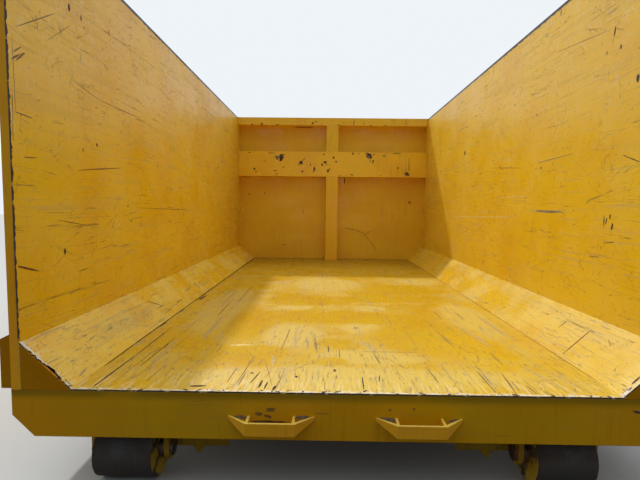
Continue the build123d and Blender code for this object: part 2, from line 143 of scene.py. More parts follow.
class Graph:
    """Adds nodes to a shader tree. Its textures look at the point."""

    def __init__(self, tree, point=None):
        self.tree = tree
        self.point = point

    def filled(self, made, inputs):
        """The node with its inputs set or linked."""
        for name, value in inputs.items():
            if isinstance(value, NodeSocket):
                self.tree.links.new(value, made.inputs[name])
            else:
                made.inputs[name].default_value = value
        return made

    def node(self, kind, inputs=None, **settings):
        """Node of that kind with its settings and inputs."""
        made = self.tree.nodes.new("ShaderNode" + kind)
        for name, value in settings.items():
            setattr(made, name, value)
        return self.filled(made, inputs or {})

    def maths(self, operation, first, second=0.0, clamp=False):
        return self.node("Math", {0: first, 1: second}, operation=operation, use_clamp=clamp).outputs[0]

    def vector(self, operation, first, second, output=0):
        return self.node("VectorMath", {0: first, 1: second}, operation=operation).outputs[output]

    def times(self, total, *parts):
        """Product of masks and numbers."""
        for part in parts:
            total = self.maths("MULTIPLY", total, part)
        return total

    def most(self, total, *masks):
        """Greatest of the masks."""
        for mask in masks:
            total = self.maths("MAXIMUM", total, mask)
        return total

    def spread(self, value, start, end, low=0.0, high=1.0):
        """Value mapped from the first range to the second, smoothly and clamped."""
        inputs = {"Value": value, "From Min": start, "From Max": end, "To Min": low, "To Max": high}
        return self.node("MapRange", inputs, interpolation_type="SMOOTHSTEP").outputs[0]

    def rising(self, value, start, fade):
        """0 up to the start, 1 from the fade's end."""
        return self.spread(value, start, self.maths("ADD", start, fade))

    def blended(self, mask, under, over):
        """Colour that goes from under to over with the mask."""
        under, over = (c if isinstance(c, NodeSocket) else (*c[:3], 1.0) for c in (under, over))
        made = self.node("Mix", {0: mask, 6: under, 7: over}, data_type="RGBA", clamp_factor=True)
        return made.outputs[2]

    def clouds(self, scale, detail=3.0, rough=0.55, point=None):
        inputs = {"Vector": point or self.point, "Scale": scale, "Detail": detail, "Roughness": rough}
        return self.node("TexNoise", inputs).outputs["Fac"]

    def broken(self, scale, start, end, detail=3.0, rough=0.55):
        """Ragged mask of clouds."""
        return self.spread(self.clouds(scale, detail, rough), start, end)

    def stretched(self, point, **inputs):
        """The point in a space that is turned and scaled."""
        inputs = {"Vector": point, **{name.capitalize(): value for name, value in inputs.items()}}
        return self.node("Mapping", inputs, vector_type="TEXTURE").outputs[0]

    def normal(self):
        return self.node("NewGeometry").outputs["Normal"]

    def facing(self, axis):
        """Part of the surface's normal along an axis."""
        return self.node("SeparateXYZ", {"Vector": self.normal()}).outputs[axis]

    def shared(self, name, **inputs):
        """Outputs of a shared group. It is built when it is first asked for."""
        if name not in BUILT_GROUPS:
            BUILT_GROUPS[name] = built_group(*GROUPS[name])
        placed = self.tree.nodes.new("ShaderNodeGroup")
        placed.node_tree = BUILT_GROUPS[name]
        inputs = {"Point": self.point, **{label.capitalize(): value for label, value in inputs.items()}}
        return self.filled(placed, inputs).outputs

    def mask(self, name, **inputs):
        return self.shared(name, **inputs)["Mask"]


def built_group(label, make, inputs, outputs=("Mask",)):
    """Node group of a point and more inputs. Its maker gives back what goes to its outputs."""
    tree = bpy.data.node_groups.new(label, "ShaderNodeTree")

    def socket(name, way, kind):
        return tree.interface.new_socket(name=name, in_out=way, socket_type="NodeSocket" + kind)

    socket("Point", "INPUT", "Vector")
    for name, value in inputs.items():
        socket(name, "INPUT", "Vector" if isinstance(value, tuple) else "Float").default_value = value
    for name in outputs:
        socket(name, "OUTPUT", "Vector" if name == "Normal" else "Float")
    given = tree.nodes.new("NodeGroupInput").outputs
    group = Graph(tree, given["Point"])
    made = make(group, given)
    group.filled(tree.nodes.new("NodeGroupOutput"), dict(zip(outputs, made)))
    return tree


def scratch_lines(group, given):
    """Thin broken lines: height lines of clouds that are turned and stretched along one axis."""
    sway = group.node("TexNoise", {"Vector": group.point, "Scale": 1.1, "Detail": 2.0}).outputs["Color"]
    sway = group.vector("SUBTRACT", sway, (0.5, 0.5, 0.5))
    sway = group.node("VectorMath", {0: sway, "Scale": given["Bend"]}, operation="SCALE").outputs[0]
    bent = group.vector("ADD", group.point, sway)
    turned = group.stretched(bent, rotation=given["Turn"], scale=given["Size"])
    level = group.maths("SUBTRACT", group.clouds(1.0, 1.0, 0.4, turned), 0.5)
    line = group.spread(group.maths("ABSOLUTE", level), given["Width"], 0.0)
    kept = group.rising(group.clouds(0.7, 4.0, 0.7, turned), given["Broken"], 0.07)
    return (group.times(line, kept),)


def scratch_web(group, given):
    """Short straight scratches that cross in all directions."""
    inputs = {"Vector": group.point, "Scale": given["Scale"]}
    cells = group.node("TexVoronoi", inputs, feature="DISTANCE_TO_EDGE").outputs["Distance"]
    line = group.spread(cells, given["Width"], 0.0)
    breaks = group.clouds(group.times(given["Scale"], 0.5), 3.0, 0.7)
    return (group.times(line, group.rising(breaks, given["Broken"], 0.1)),)


def streaks(group, given):
    """Soft smears that are long in one direction."""
    sized = group.stretched(group.point, scale=given["Size"])
    return (group.rising(group.clouds(1.0, 5.0, 0.62, sized), given["Start"], given["Fade"]),)


def chips(group, given):
    """Ragged spots, and the rim round them."""
    spots = group.clouds(given["Scale"], 4.0, 0.6)
    mask = group.rising(spots, given["Start"], 0.012)
    wider = group.spread(spots, group.maths("SUBTRACT", given["Start"], given["Rim"]), given["Start"])
    return mask, group.maths("SUBTRACT", wider, mask, clamp=True)


def edges(group, given):
    """Corners: a broken mask where they have worn, and a normal that rounds them."""
    rounded = group.node("Bevel", {"Radius": given["Radius"]}, samples=6).outputs[0]
    turned = group.vector("DOT_PRODUCT", rounded, group.normal(), "Value")
    corner = group.spread(turned, 0.985, 0.86)
    broken = group.broken(given["Grain"], 0.42, 0.6, 4.0, 0.65)
    return group.times(corner, broken, given["Level"]), rounded


def ragged(group, given, value):
    """The value moved up and down by clouds."""
    sway = group.maths("SUBTRACT", group.clouds(given["Grain"], 4.0, 0.6), 0.5)
    return group.maths("ADD", value, group.times(sway, given["Ragged"]))


def patch(group, given):
    """Soft-edged patch round a point, ragged by clouds."""
    away = group.vector("SUBTRACT", group.point, given["Centre"])
    away = group.vector("DIVIDE", away, given["Reach"])
    distance = group.node("VectorMath", {0: away}, operation="LENGTH").outputs["Value"]
    return (group.spread(ragged(group, given, distance), 1.1, 0.6),)


def dust(group, given):
    """Dust that has settled on what faces up."""
    lying = group.spread(group.facing("Z"), 0.2, 0.95)
    uneven = group.broken(given["Scale"], 0.35, 0.65, 5.0, 0.6)
    return (group.times(lying, uneven, given["Level"]),)


def rim(group, given):
    """Band along an edge where the place goes under a limit, ragged by clouds."""
    end = group.times(given["Width"], 0.6)
    return (group.spread(ragged(group, given, given["Place"]), given["Width"], end),)


# Label, maker, inputs beside the point, and outputs where there is more than a mask
GROUPS = {
    "scratches": (
        "Line Scratches", scratch_lines,
        {"Turn": (0, 0, 0), "Size": (0.05, 1, 0.05), "Bend": 0.1, "Width": 0.03, "Broken": 0.55},
    ),
    "web": ("Crossed Scratches", scratch_web, {"Scale": 20, "Width": 0.05, "Broken": 0.5}),
    "streaks": ("Load Smears", streaks, {"Size": (0.1, 1, 0.1), "Start": 0.52, "Fade": 0.2}),
    "chips": ("Paint Chips", chips, {"Scale": 20, "Start": 0.7, "Rim": 0.02}, ("Mask", "Rim")),
    "edges": ("Worn Edges", edges, {"Radius": 0.003, "Level": 0.5, "Grain": 45}, ("Mask", "Normal")),
    "patch": ("Patch", patch, {"Centre": (0, 0, 0), "Reach": (1, 1, 1), "Ragged": 0.9, "Grain": 3}),
    "dust": ("Settled Dust", dust, {"Level": 0.5, "Scale": 6}),
    "rim": ("Edge Band", rim, {"Place": 0, "Width": 0.01, "Ragged": 0.02, "Grain": 30}),
}
BUILT_GROUPS = {}


class Finish(Graph):
    """A material. Its point is measured from the middle of the floor's rear edge."""

    def __init__(self, name):
        self.made = bpy.data.materials.new(name)
        self.made.use_nodes = True
        super().__init__(self.made.node_tree)
        self.shader = self.tree.nodes["Principled BSDF"]
        local = self.node("TexCoord").outputs["Object"]
        self.point = self.node("Mapping", {"Vector": local, "Location": tuple(-FLOOR_ORIGIN)}).outputs[0]
        self.colours = bpy.context.scene.tipper_paint
        self.colour = None

    def lay(self, colour, *masks):
        """Lay a colour, or the paint setting of that name, over what is there by the product of the masks."""
        if isinstance(colour, str):
            colour = getattr(self.colours, colour)
        self.colour = self.blended(self.times(*masks), self.colour, colour)

    def relief(self, height, strength, distance, **normal):
        """Normal of a bumpy surface."""
        inputs = {"Height": height, "Strength": strength, "Distance": distance}
        inputs.update((name.capitalize(), value) for name, value in normal.items())
        return self.node("Bump", inputs).outputs[0]

    def done(self, roughness, **inputs):
        """The material, with its shader's inputs set or linked."""
        inputs = {name.capitalize(): value for name, value in inputs.items()}
        self.filled(self.shader, {"Base Color": self.colour, "Roughness": roughness, **inputs})
        return self.made


class Coat(NamedTuple):
    """How the paint on one group of pieces has worn."""

    name: str
    pieces: tuple
    run: int = 1            # axis that loads slid along: 0, 1 or 2
    face: int = 2           # axis that the main face looks along
    rubbed: float = 0.35    # share of dull paint
    scuffs: float = 0.4     # grey smears
    scratches: float = 0.5  # dark lines
    chips: float = 0.3      # spots of bare steel
    edges: float = 0.7
    dust: float = 0.4
    shade: float = 1.0      # lightness of the paint
    shine: float = 0.5      # strength of the gloss
    inside: int = 0         # -1 or 1: only the face towards the middle is worn
    warmth: float = 0.0     # how far the paint leans to orange


WALL_WEAR = {
    "face": 0, "rubbed": 0.22, "scratches": 0.7, "scuffs": 0.5, "chips": 0.1, "dust": 0.3, "shine": 0.4,
}
FLOOR_WEAR = {"scratches": 0.8, "chips": 0.4, "dust": 0.0, "shine": 0.3}
FRAME_WEAR = {"face": 1, "scuffs": 0.2, "chips": 0.2, "rubbed": 0.12}
SILL_WEAR = {
    "run": 0, "face": 1, "rubbed": 0.05, "scratches": 0.2, "scuffs": 0.2, "chips": 0.3, "edges": 0.9,
}
COATS = (
    Coat("left_wall_paint", ("left_side_wall",), inside=-1, **WALL_WEAR),
    Coat("right_wall_paint", ("right_side_wall",), inside=1, **WALL_WEAR),
    # The right slope's paint is darker than the left's, against the key light that falls more on it: painted
    # shade
    Coat("left_slope_paint", ("left_chamfer_plate",), rubbed=0.7, scuffs=1.1, shade=0.96, **FLOOR_WEAR),
    Coat("right_slope_paint", ("right_chamfer_plate",), rubbed=0.4, scuffs=0.8, shade=0.87, **FLOOR_WEAR),
    Coat("floor_paint", ("floor_plate",), rubbed=0.6, scuffs=1.2, shade=0.77, **{**FLOOR_WEAR, "shine": 0.4}),
    Coat("front_wall_paint", ("front_wall",), run=0, scratches=0.15, dust=0.3, shade=1.04, **FRAME_WEAR),
    Coat(
        "front_rail_paint", ("front_top_rail", "front_mid_rail"), 0, 1, rubbed=0.25, scratches=0.2,
        scuffs=0.25, chips=1.2, dust=0.5, shade=1.2,
    ),
    Coat("centre_post_paint", ("front_centre_post",), run=2, scratches=0.2, shade=1.12, **FRAME_WEAR),
    Coat(
        "upright_paint", (
            "front_corner_strips", "front_corner_posts", "left_side_ribs", "right_side_ribs", "hook_frame",
            "hook_cheeks", "door_ribs", "door_frame", "door_panel", "door_hinge_straps", "lower_door_latch",
            "upper_door_latch",
        ), run=2, scratches=0.15, **FRAME_WEAR,
    ),
    # The rear posts and hinge lugs are lighter and lean to orange: painted bounce light
    Coat(
        "rear_post_paint", ("rear_posts", "hinge_lugs"), 2, 1, rubbed=0.1, scratches=0.2, scuffs=0.2,
        chips=0.3, dust=0.2, shade=1.25, shine=0.2, warmth=0.85,
    ),
    # The sill's paint is darker and leans to orange: painted shade on the rear face
    Coat("sill_paint", ("rear_sill",), dust=0.3, shade=0.84, shine=0.1, warmth=0.35, **SILL_WEAR),
    # The end plates and latch keepers are darker and browner still: painted shade
    Coat(
        "corner_paint", ("chamfer_end_plates", "latch_keepers"), dust=0.2, shade=0.66, shine=0.05,
        warmth=1.05, **SILL_WEAR,
    ),
    # The steps' paint leans to orange: painted bounce light
    Coat(
        "step_paint", ("left_rear_step", "right_rear_step"), 0, 1, rubbed=0.15, scratches=0.2, scuffs=0.3,
        chips=0.5, edges=1.0, dust=0.2, shade=1.08, shine=0.25, warmth=0.7,
    ),
    Coat(
        "outer_paint", ("left_top_rail", "right_top_rail", "left_bottom_rail", "right_bottom_rail"), 1, 0,
        rubbed=0.15, scratches=0.15, scuffs=0.3, chips=0.3, dust=0.5,
    ),
    Coat(
        "underside_paint",
        ("left_runner", "right_runner", "cross_members", "roller_brackets", "front_feet"), 1, 0,
        rubbed=0.2, scratches=0.15, scuffs=0.6, chips=0.5, dust=0.7, shade=0.8, shine=0.3,
    ),
)
ROLLERS = ("left_rear_roller", "right_rear_roller")
BARE_STEEL = ("roller_axles", "hook_bar", "hinge_pins", "latch_pins")

# Sets of scratches: size across and along, turn from the run in degrees, width, gaps and bend
SCRATCH_SETS = (
    (0.022, 0.55, 1, 0.020, 0.50, 0.06),
    (0.030, 0.30, -17, 0.017, 0.54, 0.20),
    (0.030, 0.26, 24, 0.017, 0.54, 0.20),
    (0.030, 0.20, 63, 0.015, 0.56, 0.15),
    (0.026, 0.15, 87, 0.017, 0.55, 0.10),
)

# Deep-yellow places on the floor, then pale ones, partly clean and rubbed paint and partly painted reflection
# bands across the floor: middle and reach, across and ahead
FLOOR_DEEP_PATCHES = (
    (0.45, 0.72, 0.32, 0.34), (-0.42, 0.42, 0.22, 0.14), (0.06, 1.10, 0.62, 0.17), (-0.25, 1.61, 0.28, 0.22),
    (0.34, 1.66, 0.42, 0.14), (-0.50, 0.90, 0.14, 0.34), (-0.03, 0.60, 0.10, 0.08), (-0.05, 0.33, 0.09, 0.06),
    (0.55, 2.04, 0.34, 0.26),
)
FLOOR_PALE_PATCHES = (
    (-0.06, 2.28, 0.36, 0.40), (0.23, 1.36, 0.13, 0.10), (-0.27, 1.38, 0.14, 0.12), (-0.25, 0.74, 0.20, 0.26),
    (0.0, 0.14, 0.95, 0.16), (0.13, 0.88, 0.16, 0.14), (0.14, 0.40, 0.30, 0.13), (0.80, 2.45, 0.24, 0.22),
    (-0.75, 1.38, 0.18, 0.80), (0.80, 1.10, 0.16, 0.55),
)

# Rear sill: where its ends and its middle lean to orange, and the dim band under the floor's lip
SILL_ENDS = (0.60, 1.25)
SILL_MIDDLE = (0.40, 0.05)
SILL_WARMTH = 0.9
LIP_SHADE = (-0.048, -0.012)
WARM_GREEN = 0.28
WARM_BLUE = 0.7

# Heights between which the walls' crossed scratches grow, and scale, width and gaps of both kinds
WEB_HEIGHTS = (0.7, 1.5)
LIGHT_WEB = {"scale": 21.0, "width": 0.08, "broken": 0.42}
DARK_WEB = {"scale": 16.0, "width": 0.05, "broken": 0.54}

# Distances ahead of the rear edge, over which the painted shade near the front wall, pale rubs and dark
# dashes grow
FAR_SHADE = (LENGTH - 1.3, LENGTH - 0.1)
FLOOR_RUBS = 0.30
SLOPE_RUBS = 0.12
DASH_REACH = (1.3, 0.1)
LIP_BAND = {"width": 0.018, "ragged": 0.06, "grain": 24}
NICK_BAND = {"width": 0.03, "ragged": 0.05}
TOP_BAND = {"width": 0.022, "ragged": 0.02}
REAR_BAND = {"width": 0.004, "ragged": 0.03}
OVER_SLOPE = (SLOPE_TOP, SLOPE_TOP + 0.02)

# Smears: size across and along, where the clouds start and over how much they fade
SMEARS = {
    "wide": (0.10, 1.1, 0.50, 0.2),
    "fine": (0.016, 0.35, 0.56, 0.12),
    "rain": (0.022, 0.45, 0.53, 0.16),
    "dashes": (0.012, 0.09, 0.57, 0.07),
    "pale": (0.011, 0.14, 0.50, 0.1),
}

# Clouds: scale, detail and roughness, or scale and where they break a layer up
MOTTLE = (2.3, 5.0, 0.6)
MOTTLE_FADE = (0.38, 0.66)
RUBS = (3.1, 0.60, 0.40, 6.0, 0.68)
WALL_RUBS = (3.1, 0.70, 0.30, 6.0, 0.68)
LIP_SHADE_BREAKS = (2.0, 0.30, 0.48)
RAIN_BREAKS = (1.7, 0.42, 0.62, 4.0, 0.6)
LIP_BREAKS = (55.0, 0.38, 0.54)
CUT_BREAKS = (24.0, 0.38, 0.46)
NICKS = {"scale": 30.0, "start": 0.57, "rim": 0.03}
CHIPS_START = 0.80
CHIPS_DROP = 0.06
GAPS_DROP = 0.08

# Parts of the normal between which a face counts as the wall's inside, upright, a top or the cut rear edge
INSIDE_FACE = (0.3, 0.6)
UPRIGHT_FACE = (0.5, 0.2)
TOP_FACE = (0.5, 0.9)
CUT_FACE = (-0.5, -0.8)

# How strongly the layers cover what is under them, the painted shade near the front wall among them
COVER = {
    "wall's outside": 0.12, "sill's middle": 0.7, "scuffs": 0.55, "light web": 0.42, "chip rims": 0.4,
    "rain": 0.75, "far shade": 0.85, "step tops": 0.85, "pale rubs": 0.55, "lip": 0.95,
}
LIT = 1.1
SHADED = 0.5
# Share of the deep yellow in the painted shade near the front wall
FAR_SHADE_SHARE = 0.55

# Relief: scale and height of the orange peel and of the dents, depth of marks, strength and distance
PEEL = (90.0, 0.04)
DENTS = (2.2, 1.6)
MARK_DEPTH = 0.25
PAINT_RELIEF = (0.4, 0.003)

# How much rougher rubs, smears, marks and dust are than the sound paint
ROUGHER = (0.22, 0.2, 0.25, 0.4)


def size_along(run, across, along):
    return tuple(along if axis == run else across for axis in range(3))


class WornPaint(Finish):
    """Yellow paint, built up in layers from the sound paint to the dust."""

    def __init__(self, coat):
        super().__init__(coat.name)
        self.coat = coat
        self.place = self.node("SeparateXYZ", {"Vector": self.point}).outputs
        self.mottle = self.clouds(*MOTTLE)
        self.floor = coat.name == "floor_paint"
        self.worn = 1.0
        if coat.inside:
            inwards = self.times(self.facing("X"), float(-coat.inside))
            self.worn = self.spread(inwards, *INSIDE_FACE, COVER["wall's outside"], 1.0)

    def shaded(self, name, warmth=None, share=1.0):
        """A share of a paint colour in the coat's lightness and warmth."""
        warmth = self.coat.warmth if warmth is None else warmth
        warm = (1.0, 1 - WARM_GREEN * warmth, 1 - WARM_BLUE * warmth)
        colour = zip(getattr(self.colours, name), warm)
        return tuple(min(1.0, part * self.coat.shade * lean) * share for part, lean in colour)

    def smears(self, kind, axis=None):
        """Mask of smears along the run or another axis."""
        across, along, start, fade = SMEARS[kind]
        size = size_along(self.coat.run if axis is None else axis, across, along)
        return self.mask("streaks", size=size, start=start, fade=fade)

    def patches(self, places):
        return self.most(*(
            self.mask("patch", centre=(x, y, 0), reach=(wide, long, 1)) for x, y, wide, long in places
        ))

    def scratched(self):
        """Mask of thin scratches in several directions."""
        return self.most(*(
            self.mask(
                "scratches", turn=size_along(self.coat.face, 0.0, radians(turn)),
                size=size_along(self.coat.run, across, along), bend=bend, width=width,
                broken=gaps + GAPS_DROP * (1 - self.coat.scratches),
            )
            for across, along, turn, width, gaps, bend in SCRATCH_SETS
        ))

    def sound(self):
        """Mottled sound paint."""
        yellow, deep = self.shaded("yellow"), self.shaded("deep")
        self.colour = self.blended(self.spread(self.mottle, *MOTTLE_FADE), yellow, deep)

    def sill(self):
        """Orange ends and middle of the sill, and the lip's shadow on it."""
        across = self.maths("ABSOLUTE", self.place["X"])
        middle = self.spread(across, *SILL_MIDDLE, 0.0, COVER["sill's middle"])
        self.lay(self.shaded("yellow", SILL_WARMTH, LIT), self.most(self.spread(across, *SILL_ENDS), middle))
        under_lip = self.spread(self.place["Z"], *LIP_SHADE)
        self.lay(self.shaded("yellow", share=SHADED), under_lip, self.broken(*LIP_SHADE_BREAKS))

    def rubs(self):
        """Paint that loads have rubbed dull, with the floor's deep and pale patches, which are partly painted
        reflection.
        """
        rubbed = self.broken(*(WALL_RUBS if self.coat.inside else RUBS))
        if self.floor:
            # On the floor the deep and pale patches are partly wear and partly painted reflection bands
            dull = self.most(self.times(rubbed, 0.6), self.patches(FLOOR_PALE_PATCHES))
            deep_places = self.times(self.patches(FLOOR_DEEP_PATCHES), 0.95)
            rubbed = self.times(dull, self.maths("SUBTRACT", 1.0, deep_places))
        rubbed = self.times(rubbed, self.worn)
        self.lay(self.shaded("pale"), rubbed, self.coat.rubbed)
        return rubbed

    def scuffs(self, rubbed):
        """Grey smears of loads."""
        wide = self.times(self.smears("wide"), 0.5)
        scuffs = self.times(self.maths("ADD", wide, self.smears("fine"), clamp=True), self.worn)
        if self.floor:
            scuffs = self.times(scuffs, self.spread(rubbed, 0.0, 0.7, 0.25, 1.0))
        self.lay("scuff", scuffs, COVER["scuffs"] * self.coat.scuffs)
        return scuffs

    def web(self):
        """Pale and dark scratches that cross on the walls, denser towards the top."""
        high = self.spread(self.place["Z"], *WEB_HEIGHTS, 0.25, 1.0)
        self.lay("rubbed_bare", self.mask("web", **LIGHT_WEB), high, self.worn, COVER["light web"])
        strength = self.maths("ADD", self.times(high, 0.25), 0.22)
        self.lay("scratch", self.mask("web", **DARK_WEB), self.worn, strength)

    def damage(self):
        """Scratches and chips."""
        lines = self.times(self.scratched(), self.worn)
        self.lay("scratch", lines, self.coat.scratches)
        spots = self.shared("chips", scale=11.0, start=CHIPS_START - CHIPS_DROP * self.coat.chips, rim=0.02)
        self.lay("rust", spots["Rim"], self.worn, COVER["chip rims"])
        spots = self.times(spots["Mask"], self.worn)
        self.lay("chip", spots)
        return self.maths("ADD", lines, spots, clamp=True)

    def grime(self):
        """What rain has washed down."""
        upright = self.spread(self.maths("ABSOLUTE", self.facing("Z")), *UPRIGHT_FACE)
        strength = COVER["rain"] * self.coat.dust
        self.lay("rust", self.smears("rain", axis=2), upright, self.broken(*RAIN_BREAKS), strength)

    def corners(self):
        """Worn edges. Gives the normal that rounds them."""
        under = "pale" if self.coat.name == "step_paint" else "scratch" if self.coat.inside else "rust"
        corner = self.shared("edges", level=self.coat.edges)
        self.lay(under, corner["Mask"])
        return corner["Normal"]

    def rear_edge(self):
        """Dashes, pale rubs, bare lip and nicks where loads slide off the floor and its slopes, and the dark
        cut rear face, partly bare steel and partly painted shadow under the lip.
        """
        ahead = self.place["Y"]
        dark = self.blended(self.mottle, self.colours.scratch, self.colours.scuff)
        self.lay(dark, self.smears("dashes"), self.spread(ahead, *DASH_REACH, 0.2, 0.8))
        near = self.spread(ahead, FLOOR_RUBS if self.floor else SLOPE_RUBS, 0.0)
        self.lay("rubbed_bare", self.smears("pale"), near, COVER["pale rubs"])
        lip = self.mask("rim", place=ahead, **LIP_BAND)
        self.lay("bare", lip, self.broken(*LIP_BREAKS), COVER["lip"])
        self.lay("chip", self.mask("chips", **NICKS), self.mask("rim", place=ahead, **NICK_BAND))
        # The cut rear face is laid dark: partly bare steel, partly a painted shadow line under the lip
        self.lay("chip", self.spread(self.facing("Y"), *CUT_FACE), self.broken(*CUT_BREAKS))

    def wall_rims(self):
        """Bare steel along a wall's top edge, and a dark band along its rear edge that is partly chipped
        paint and partly painted shadow of the gap beside the post.
        """
        under_top = self.maths("SUBTRACT", WALL_TOP, self.place["Z"])
        # The rear band is partly chipped paint, partly painted shadow
        rear = self.mask("rim", place=self.place["Y"], **REAR_BAND)
        rear = self.times(rear, self.spread(self.place["Z"], *OVER_SLOPE))
        self.lay("chip", self.most(self.mask("rim", place=under_top, **TOP_BAND), rear))

    def bumps(self, marks, normal):
        """Orange peel, dents and the depth of the marks."""
        peel, dents = (self.times(self.clouds(scale, 2.0), height) for scale, height in (PEEL, DENTS))
        height = self.maths("SUBTRACT", self.maths("ADD", peel, dents), self.times(marks, MARK_DEPTH))
        return self.relief(height, *PAINT_RELIEF, normal=normal)

    def material(self):
        self.shader.inputs["Specular IOR Level"].default_value = self.coat.shine
        self.sound()
        if self.coat.name == "sill_paint":
            self.sill()
        rubbed = self.rubs()
        scuffs = self.scuffs(rubbed)
        if self.coat.inside:
            self.web()
        marks = self.damage()
        if not self.coat.inside:
            self.grime()
        rounded = self.corners()
        if self.floor:
            # Painted shade: the floor grows darker towards the front wall
            front_shade = self.spread(self.place["Y"], *FAR_SHADE, 0.0, COVER["far shade"])
            self.lay(self.shaded("deep", share=FAR_SHADE_SHARE), front_shade)
        # Painted highlight: the step tops are laid pale where light falls on them
        if self.coat.name == "step_paint":
            self.lay("pale", self.spread(self.facing("Z"), *TOP_FACE, 0.0, COVER["step tops"]))
        if self.floor or "slope" in self.coat.name:
            self.rear_edge()
        if self.coat.inside:
            self.wall_rims()
        settled = self.mask("dust", level=self.coat.dust)
        self.lay("dust", settled)
        rough = self.colours.gloss
        for mask, share in zip((rubbed, scuffs, marks, settled), ROUGHER):
            rough = self.maths("ADD", self.times(mask, share), rough)
        return self.done(rough, normal=self.bumps(marks, rounded))


def roller_material(name):
    """Rust-brown tread with the remains of yellow paint on the end faces."""
    finish = Finish(name)
    mottle = finish.clouds(9.0, 6.0, 0.65)
    finish.colour = finish.blended(finish.spread(mottle, 0.4, 0.62), tone(22, 19, 17), tone(46, 35, 28))
    bands = finish.mask("streaks", size=(0.012, 0.4, 0.4), start=0.56, fade=0.08)
    finish.lay(tone(80, 66, 54), bands, 0.25)
    end = finish.spread(finish.maths("ABSOLUTE", finish.facing("X")), 0.7, 0.9)
    rusty = finish.blended(0.35, finish.colours.yellow, finish.colours.rust)
    finish.lay(rusty, end, finish.broken(14.0, 0.62, 0.48, 5.0, 0.6))
    corner = finish.shared("edges", radius=0.006, level=0.6)
    finish.lay(tone(104, 78, 54), corner["Mask"])
    bumps = finish.relief(mottle, 0.6, 0.003, normal=corner["Normal"])
    return finish.done(finish.spread(mottle, 0.3, 0.7, 0.62, 0.9), normal=bumps)


def steel_material(name):
    """Greased dark steel of pins, axles and the hook bar."""
    finish = Finish(name)
    mottle = finish.clouds(30.0, 5.0, 0.6)
    finish.colour = finish.blended(finish.spread(mottle, 0.42, 0.62), tone(86, 80, 76), tone(104, 66, 40))
    corner = finish.shared("edges", radius=0.002, level=0.8)
    finish.lay(tone(170, 164, 156), corner["Mask"])
    bumps = finish.relief(mottle, 0.25, 0.001, normal=corner["Normal"])
    metallic = finish.spread(mottle, 0.42, 0.6, 0.9, 0.25)
    return finish.done(finish.spread(mottle, 0.35, 0.65, 0.34, 0.62), metallic=metallic, normal=bumps)


def weld_material(name):
    """Painted bead with some rust."""
    finish = Finish(name)
    finish.colour = tuple(finish.colours.yellow)
    finish.lay("rust", finish.broken(12.0, 0.56, 0.66, 4.0))
    return finish.done(0.4, normal=finish.relief(finish.clouds(160.0, 1.0), 0.6, 0.002))


def mark_material(name, first, second, rough):
    """Mottled finish of small marks in the paint."""
    finish = Finish(name)
    finish.colour = finish.blended(finish.broken(60.0, 0.4, 0.6), first, second)
    return finish.done(rough)


# Modelling

def choose(*pieces):
    """Select these pieces only, with the first one active."""
    bpy.ops.object.select_all(action="DESELECT")
    for piece in pieces:
        piece.select_set(True)
    if pieces:
        bpy.context.view_layer.objects.active = pieces[0]


def added(primitive, **settings):
    """New object of a primitive."""
    choose()
    primitive(**settings)
    return bpy.context.object


def edited(operation, **settings):
    """Do a mesh operation on all of the active mesh."""
    bpy.ops.object.mode_set(mode="EDIT")
    bpy.ops.mesh.select_all(action="SELECT")
    operation(**settings)
    bpy.ops.object.mode_set(mode="OBJECT")


def joined(pieces, name):
    """The pieces as one object with its place in its mesh."""
    choose(*pieces)
    bpy.ops.object.join()
    bpy.ops.object.transform_apply(location=True, rotation=True, scale=True)
    made = bpy.context.object
    made.name = made.data.name = name
    return made


def fitted(piece, body, made):
    """The piece on its body, with its finish."""
    piece.data.materials.clear()
    piece.data.materials.append(made)
    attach(piece, body)
    return piece


def modified(piece, kind, **settings):
    """The piece with a modifier applied."""
    choose(piece)
    modifier = piece.modifiers.new(kind.lower(), kind)
    for name, value in settings.items():
        setattr(modifier, name, value)
    bpy.ops.object.modifier_apply(modifier=modifier.name)
    return piece


def finish_of(name):
    """Material of a piece of the frame."""
    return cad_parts[name].data.materials[0]


def axes_along(direction, normal):
    """Turn that points x along the direction and z along the normal."""
    along = direction.normalized()
    sideways = normal.cross(along).normalized()
    return Matrix((along, sideways, along.cross(sideways))).transposed().to_4x4()


class Face(NamedTuple):
    """A flat face that marks lie on: a point on it, its two axes and where it looks."""

    origin: Vector
    first: Vector
    second: Vector
    normal: Vector

    def point(self, first, second):
        return self.origin + (self.first * first + self.second * second) * MILLIMETRE


FACES = {
    "floor": Face(at(0, 0, 0), RIGHT, AHEAD, UP),
    "sill": Face(at(0, 0, 0), RIGHT, UP, -AHEAD),
    "rail": Face(at(0, RAIL_FACE, 0), RIGHT, UP, -AHEAD),
    "front": Face(at(0, LENGTH, 0), RIGHT, UP, -AHEAD),
}
SLOPE_RISE = SLOPE_TOP / (WALL_X - FLOOR_HALF)
for side, sign in SIDES:
    FACES[f"{side} wall"] = Face(at(sign * WALL_X, 0, 0), AHEAD, UP, RIGHT * -sign)
    FACES[f"{side} slope"] = Face(
        at(sign * FLOOR_HALF, 0, 0), AHEAD, Vector((sign / SLOPE_RISE, 0, 1)),
        Vector((-sign * SLOPE_RISE, 0, 1)).normalized(),
    )

